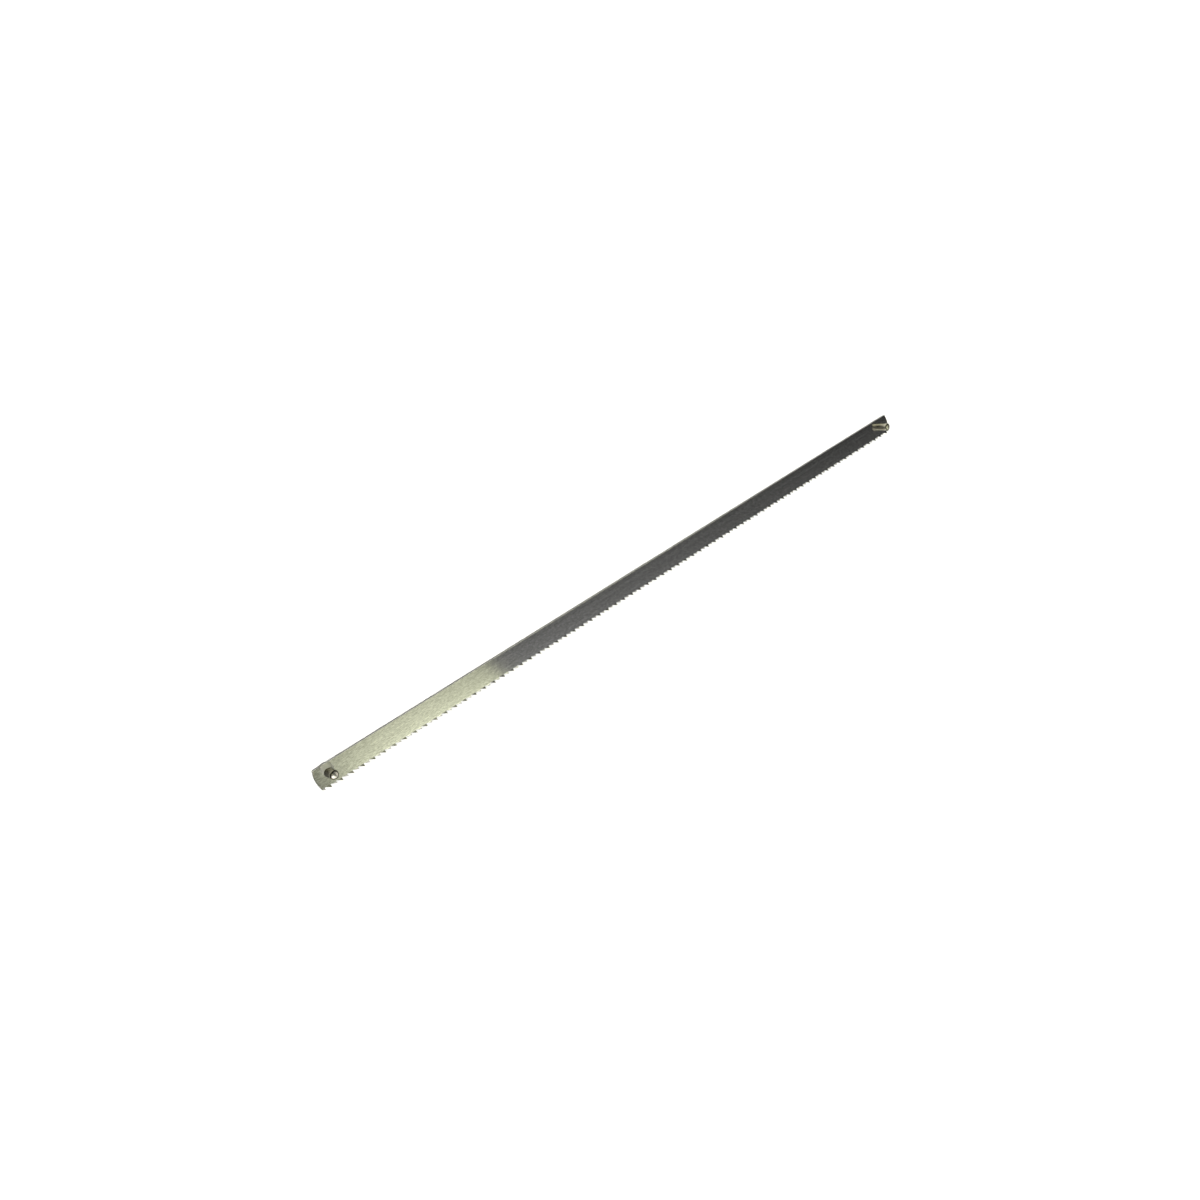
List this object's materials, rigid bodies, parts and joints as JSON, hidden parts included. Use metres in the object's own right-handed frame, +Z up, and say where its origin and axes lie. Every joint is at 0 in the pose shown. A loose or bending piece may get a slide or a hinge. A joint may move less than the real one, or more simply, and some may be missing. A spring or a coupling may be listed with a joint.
{
  "type": "pinned saw blade",
  "caption": "Slender toothed saw strip with alternately set hooked teeth, rounded ends and a round cross pin pressed through it near each end.",
  "frame": {"origin": "under the middle of the blade, on the surface that it lies on", "axes": "+X along the strip towards the end that the tooth tips point to, +Y from the teeth to the plain back edge, +Z up through the pins"},
  "size_m": [0.1512, 0.0046, 0.0053],
  "materials": {
    "strip_steel": "satin spring steel with fine grain along its length",
    "pin_steel": "bright drawn wire, cropped ends"
  },
  "bodies": {
    "root": {"blade_strip": "strip_steel", "near_pin": "pin_steel", "far_pin": "pin_steel"}
  },
  "joints": []
}
